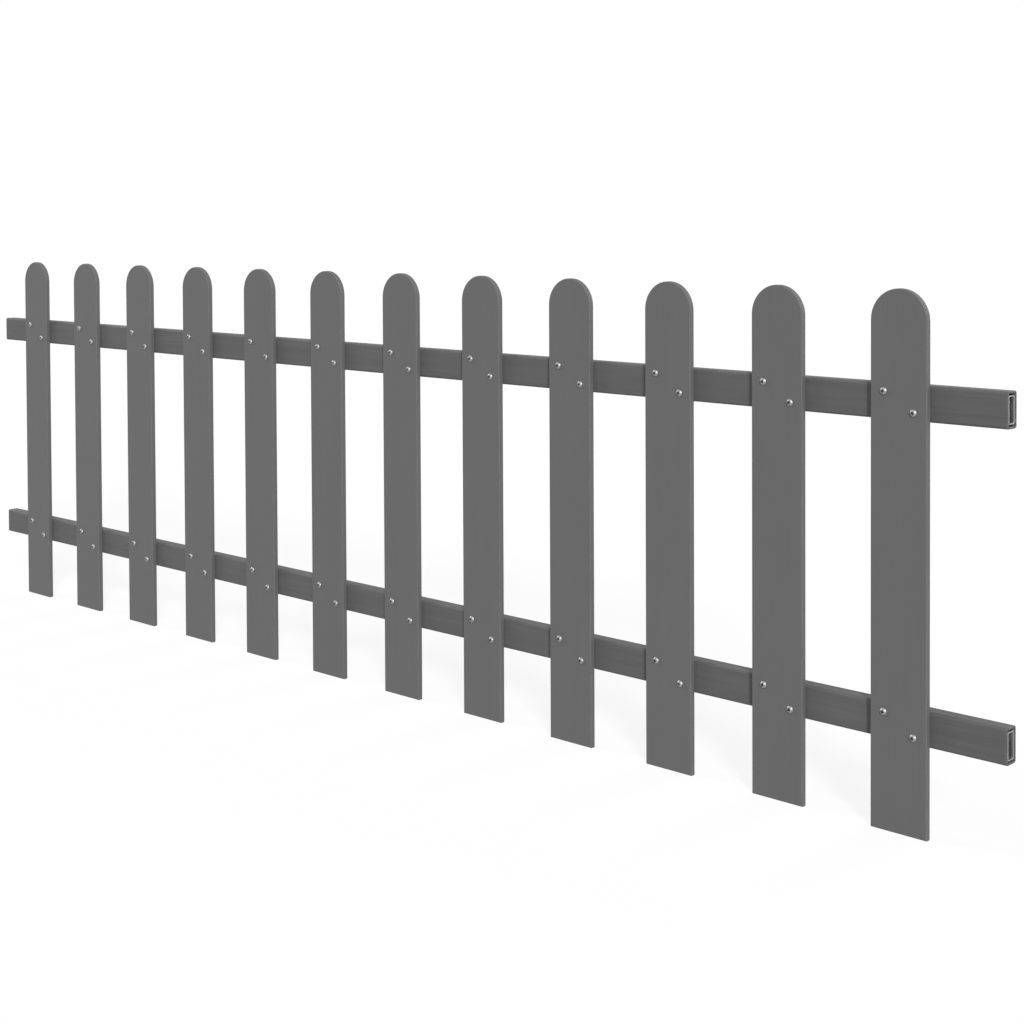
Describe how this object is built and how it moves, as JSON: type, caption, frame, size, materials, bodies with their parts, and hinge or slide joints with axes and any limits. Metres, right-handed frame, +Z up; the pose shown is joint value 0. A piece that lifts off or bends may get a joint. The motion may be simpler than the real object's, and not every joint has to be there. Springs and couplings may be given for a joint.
{
  "type": "picket fence panel",
  "caption": "Low fence panel of round-topped composite boards screwed to the front of hollow rails with metal tubes inside.",
  "frame": {"origin": "on the back face of the lower rail, at the middle of its length and of its height", "axes": "+X along the panel, to the right as seen from the pickets' side; +Y from the pickets to the back; +Z up"},
  "size_m": [2, 0.031, 0.5999],
  "materials": {
    "composite": "matt mid-grey wood-plastic composite with a fine drawn grain",
    "tube_metal": "plain extruded metal",
    "screw_metal": "bright stainless steel"
  },
  "bodies": {
    "root": {"lower_rail": "composite", "lower_rail_tube": "tube_metal", "upper_rail": "composite", "upper_rail_tube": "tube_metal", "picket_01": "composite", "picket_01_screws": "screw_metal", "picket_02": "composite", "picket_02_screws": "screw_metal", "picket_03": "composite", "picket_03_screws": "screw_metal", "picket_04": "composite", "picket_04_screws": "screw_metal", "picket_05": "composite", "picket_05_screws": "screw_metal", "picket_06": "composite", "picket_06_screws": "screw_metal", "picket_07": "composite", "picket_07_screws": "screw_metal", "picket_08": "composite", "picket_08_screws": "screw_metal", "picket_09": "composite", "picket_09_screws": "screw_metal", "picket_10": "composite", "picket_10_screws": "screw_metal", "picket_11": "composite", "picket_11_screws": "screw_metal", "picket_12": "composite", "picket_12_screws": "screw_metal"}
  },
  "joints": []
}
